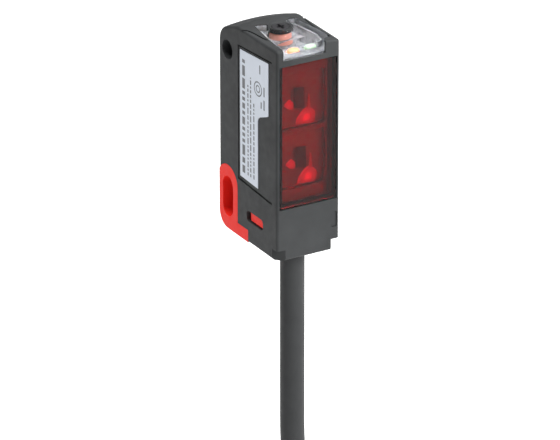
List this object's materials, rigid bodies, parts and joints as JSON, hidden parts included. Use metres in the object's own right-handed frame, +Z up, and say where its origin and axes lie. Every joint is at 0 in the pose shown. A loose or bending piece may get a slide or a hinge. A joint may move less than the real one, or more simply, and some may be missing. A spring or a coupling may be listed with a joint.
{
  "type": "miniature photoelectric sensor",
  "caption": "Slim miniature photoelectric sensor with a red front window, clear top cover over a turnable sensitivity adjuster, side fixing holes and a long round cable wound in a tied coil.",
  "frame": {"origin": "centre of the upper fixing hole, halfway across the housing's width", "axes": "+X across the width along the fixing holes, away from the rating label; -Y is the optical axis, out of the red front window; +Z up, towards the roof with the adjuster"},
  "size_m": [0.0217, 0.0668, 0.1818],
  "materials": {
    "housing_plastic": "fine moulded texture, dark grey",
    "label_film": "satin printed film",
    "red_window": "polished red acrylic",
    "seal_rubber": "matt black rubber",
    "clear_plastic": "polished clear polycarbonate",
    "black_plastic": "matt black",
    "contact_brass": "plated",
    "trimmer_pink": "satin moulded",
    "carbon_track": "matt carbon film",
    "carrier_plastic": "matt black",
    "lens_plastic": "polished acrylic",
    "filter_film": "polarising film",
    "led_clear": "clear epoxy over a red chip",
    "diode_dark": "dark epoxy",
    "shield_metal": "tinned steel",
    "board_green": "solder resist",
    "reflector_white": "white moulded",
    "indicator_amber": "diffused amber",
    "indicator_clear_green": "diffused green",
    "chip_black": "moulded epoxy",
    "capacitor_body": "fired ceramic",
    "solder_metal": "tinned",
    "insert_orange": "fine moulded texture, orange-red",
    "cable_sheath": "dark grey sheath",
    "core_brown": "brown insulation",
    "core_white": "white insulation",
    "core_blue": "blue insulation",
    "core_black": "black insulation"
  },
  "bodies": {
    "sensor_body": {"housing": "housing_plastic", "side_cover": "housing_plastic", "label": "label_film", "front_window": "red_window", "window_seal": "seal_rubber", "clear_cover": "clear_plastic", "trimmer_body": "trimmer_pink", "resistive_track": "carbon_track", "optics_carrier": "carrier_plastic", "transmitter_lens": "lens_plastic", "receiver_lens": "lens_plastic", "transmitter_filter": "filter_film", "receiver_filter": "filter_film", "main_board": "board_green", "transmitter_led": "led_clear", "receiver_diode": "diode_dark", "receiver_shield": "shield_metal", "indicator_board": "board_green", "header_pins": "contact_brass", "light_reflector": "reflector_white", "indicator_yellow": "indicator_amber", "indicator_green": "indicator_clear_green", "controller_chip": "chip_black", "driver_chip": "chip_black", "capacitors": "capacitor_body", "resistors": "chip_black", "solder_pads": "solder_metal", "mounting_insert": "insert_orange", "cable_grommet": "seal_rubber", "cable_clamp": "shield_metal", "cable_stub": "cable_sheath", "inner_lead_brown": "core_brown", "inner_lead_white": "core_white", "inner_lead_blue": "core_blue", "inner_lead_black": "core_black", "cable_lead": "cable_sheath", "cable_coil": "cable_sheath", "cable_tail": "cable_sheath", "core_brown": "core_brown", "core_white": "core_white", "core_blue": "core_blue", "core_black": "core_black", "ferrules": "solder_metal", "cable_tie": "black_plastic"},
    "adjuster": {"adjuster_rotor": "black_plastic", "adjuster_seal": "seal_rubber", "wiper": "contact_brass"}
  },
  "joints": [
    {"name": "adjuster_turn", "type": "hinge", "parent": "sensor_body", "child": "adjuster", "pos_m": [0, -0.0069, 0.0045], "axis": [0, 0, 1], "range_deg": [-135, 135]}
  ]
}
